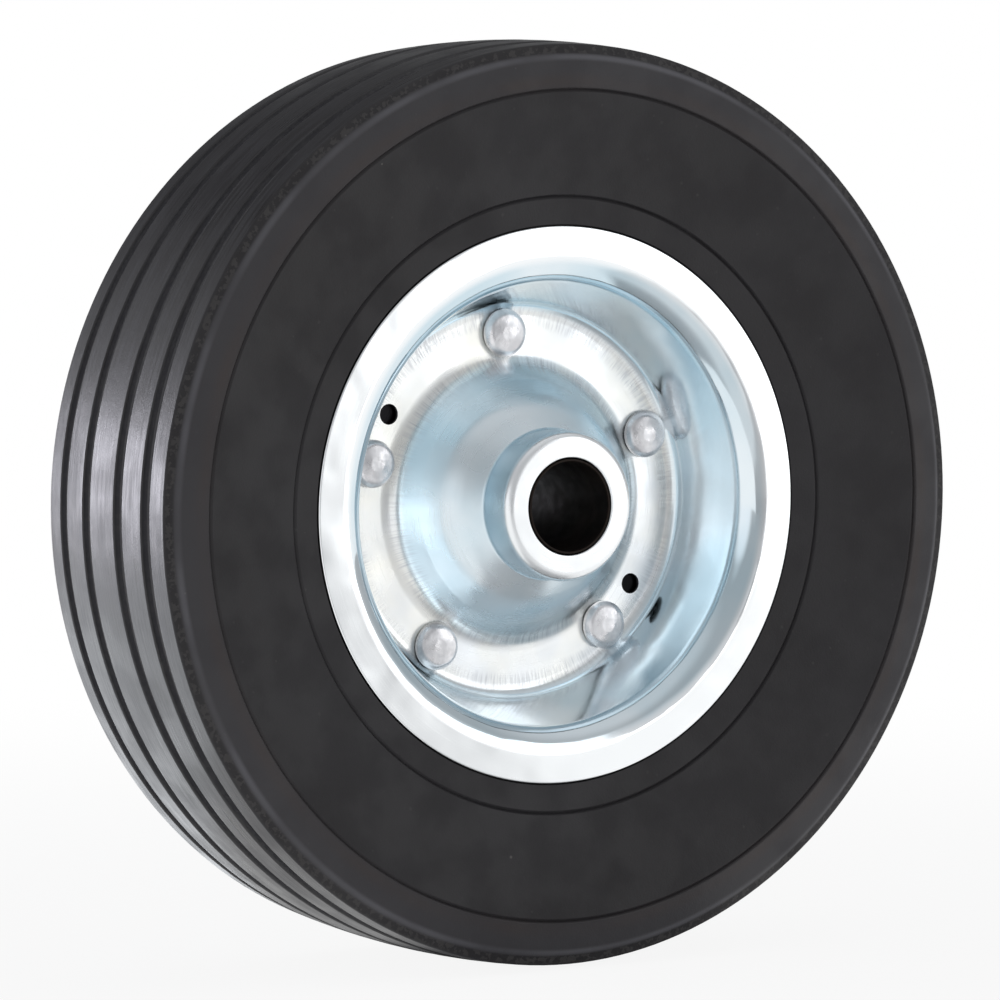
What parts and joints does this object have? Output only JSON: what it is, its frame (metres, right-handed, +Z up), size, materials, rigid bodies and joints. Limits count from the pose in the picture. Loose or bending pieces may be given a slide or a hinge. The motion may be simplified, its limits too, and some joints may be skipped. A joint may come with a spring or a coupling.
{
  "type": "jockey wheel",
  "caption": "Solid rubber jockey wheel with a ribbed tread on a riveted, zinc-plated pressed steel rim with drawn hub necks and a plain sleeve bore.",
  "frame": {"origin": "centre of the wheel, on the axle line in the plane where the two rim pressings meet", "axes": "+Y along the axle towards the rear face, the face that the picture shows looks along -Y, +Z up"},
  "size_m": [0.2, 0.0556, 0.2],
  "materials": {
    "tyre_rubber": "matt moulded black rubber, slightly dusty",
    "plated_steel": "bright blue zinc plate on pressed steel sheet",
    "rivet_steel": "satin zinc plate on formed heads",
    "black_nylon": "satin black nylon"
  },
  "bodies": {
    "root": {"tyre": "tyre_rubber", "rim_half_front": "plated_steel", "rim_half_rear": "plated_steel", "axle_sleeve": "black_nylon", "rivet_1": "rivet_steel", "rivet_2": "rivet_steel", "rivet_3": "rivet_steel", "rivet_4": "rivet_steel", "rivet_5": "rivet_steel"}
  },
  "joints": []
}
